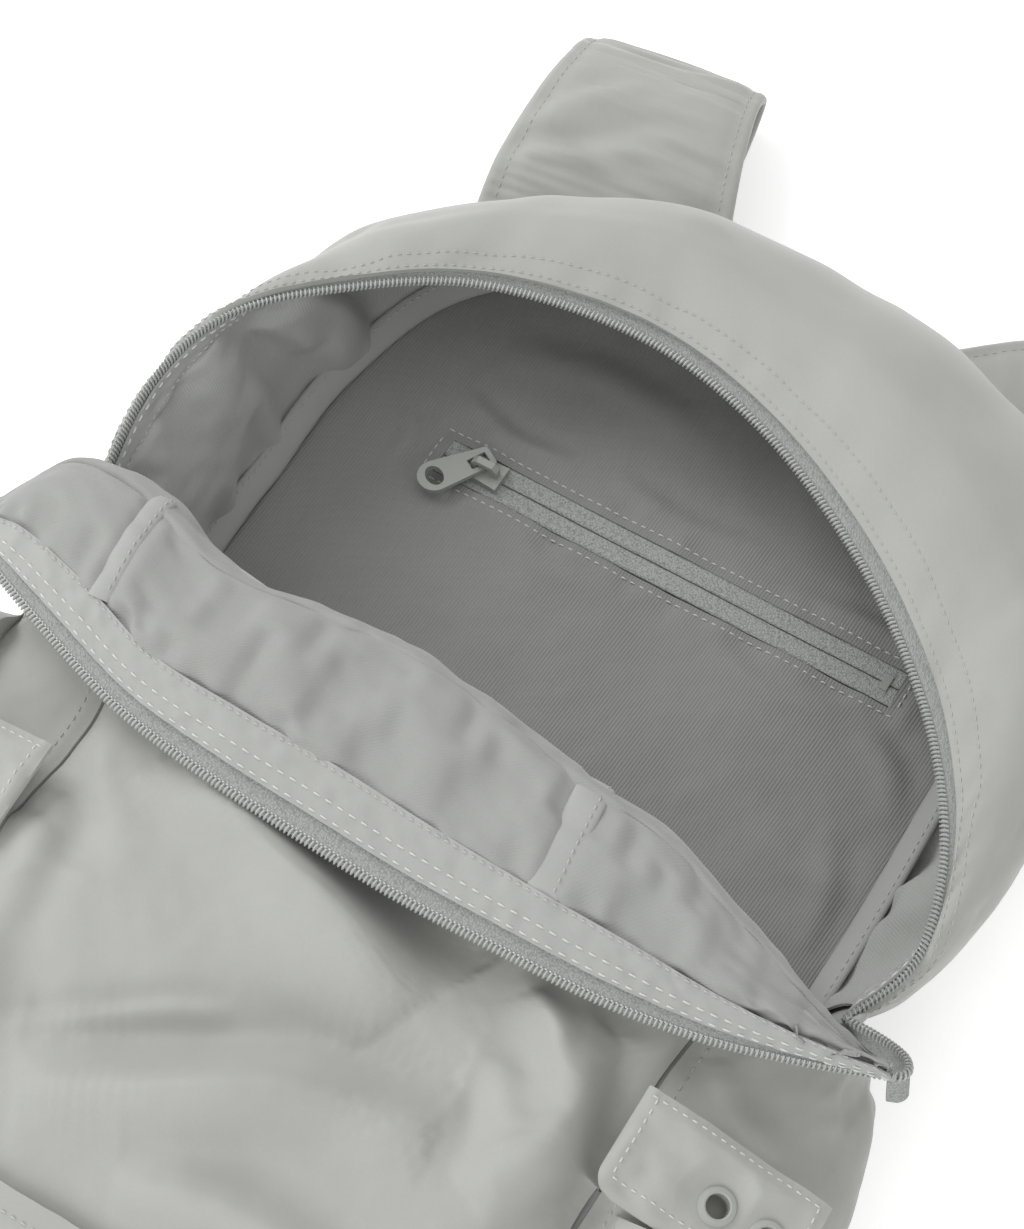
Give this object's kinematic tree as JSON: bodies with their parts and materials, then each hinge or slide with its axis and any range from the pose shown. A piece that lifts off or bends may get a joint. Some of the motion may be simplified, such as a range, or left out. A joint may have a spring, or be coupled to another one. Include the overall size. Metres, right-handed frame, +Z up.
{
  "type": "sling bag",
  "caption": "Padded fabric sling bag lying open, with a turned-out zip mouth, inner zip pocket, eyelet flaps and one padded shoulder strap.",
  "frame": {"origin": "middle of the underside of the padded cushion on the bag's back, on the ground plane", "axes": "+Z up through the bag's depth as it lies on its back, +Y towards the bag's top, +X towards its right side"},
  "size_m": [0.3876, 0.4783, 0.0906],
  "materials": {
    "outer_cloth": "washed matte cotton",
    "lining_twill": "matte diagonal twill",
    "foam": "soft foam",
    "zip_tape": "woven tape",
    "zip_coil": "dull nylon coil",
    "webbing": "woven webbing",
    "painted_metal": "matte paint"
  },
  "bodies": {
    "bag": {"back_cushion_cover": "outer_cloth", "back_cushion_foam": "foam", "back_panel_shell": "outer_cloth", "back_panel_foam": "foam", "back_panel_lining": "lining_twill", "pocket_bag": "lining_twill", "pocket_zip_welt": "lining_twill", "pocket_zip_tapes": "zip_tape", "pocket_zip_stops": "painted_metal", "arch_shell": "outer_cloth", "arch_lining": "lining_twill", "arch_facing": "lining_twill", "zip_tape_back": "zip_tape", "zip_coil_back": "zip_coil", "binding_back": "lining_twill", "front_panel": "outer_cloth", "side_panel_left": "outer_cloth", "side_panel_right": "outer_cloth", "bottom_panel": "outer_cloth", "pouch_lining": "lining_twill", "front_pocket": "outer_cloth", "front_pocket_hem": "outer_cloth", "side_pocket_left": "outer_cloth", "side_pocket_right": "outer_cloth", "zip_turn": "zip_tape", "main_zip_end": "zip_tape", "strap_cover": "outer_cloth", "strap_foam": "foam", "strap_webbing": "webbing", "strap_ring": "painted_metal", "ring_tab": "webbing"},
    "cuff": {"cuff_shell": "outer_cloth", "cuff_lining_left": "lining_twill", "cuff_lining_centre": "lining_twill", "cuff_lining_right": "lining_twill", "cuff_facing": "lining_twill", "binding_front_left": "lining_twill", "binding_front_right": "lining_twill", "zip_tape_front": "zip_tape", "zip_coil_front": "zip_coil"},
    "flap_left": {"flap_left": "outer_cloth", "eyelets_left": "painted_metal"},
    "flap_right": {"flap_right": "outer_cloth", "eyelets_right": "painted_metal"},
    "pocket_slider": {"pocket_slider": "painted_metal"},
    "pocket_puller": {"pocket_puller": "painted_metal"},
    "main_slider": {"main_slider": "painted_metal"},
    "main_puller": {"main_puller": "painted_metal"},
    "strap_slider": {"strap_slider": "painted_metal"}
  },
  "joints": [
    {"name": "cuff_fold", "type": "hinge", "parent": "bag", "child": "cuff", "pos_m": [-0.128, 0.034, 0.08], "axis": [-0.9942, 0.1077, 0], "range_deg": [0, 100]},
    {"name": "flap_left_lift", "type": "hinge", "parent": "bag", "child": "flap_left", "pos_m": [-0.086, -0.04, 0.0734], "axis": [-0.9659, 0, -0.2588], "range_deg": [0, 70]},
    {"name": "flap_right_lift", "type": "hinge", "parent": "bag", "child": "flap_right", "pos_m": [0.086, -0.04, 0.0734], "axis": [-0.9659, 0, 0.2588], "range_deg": [0, 70]},
    {"name": "pocket_slider_run", "type": "slide", "parent": "bag", "child": "pocket_slider", "axis": [1, 0, 0], "range_m": [0, 0.115]},
    {"name": "pocket_puller_swing", "type": "hinge", "parent": "pocket_slider", "child": "pocket_puller", "pos_m": [-0.0526, 0.112, 0.02075], "axis": [0.5, 0.866, 0], "range_deg": [0, 100]},
    {"name": "main_slider_run", "type": "slide", "parent": "bag", "child": "main_slider", "axis": [0, -1, 0], "range_m": [0, 0.026]},
    {"name": "main_puller_swing", "type": "hinge", "parent": "main_slider", "child": "main_puller", "pos_m": [-0.15395, -0.0214, 0.046], "axis": [0, 0, 1], "range_deg": [0, 100]},
    {"name": "strap_slider_run", "type": "slide", "parent": "bag", "child": "strap_slider", "axis": [0, -1, 0], "range_m": [0, 0.115]}
  ]
}
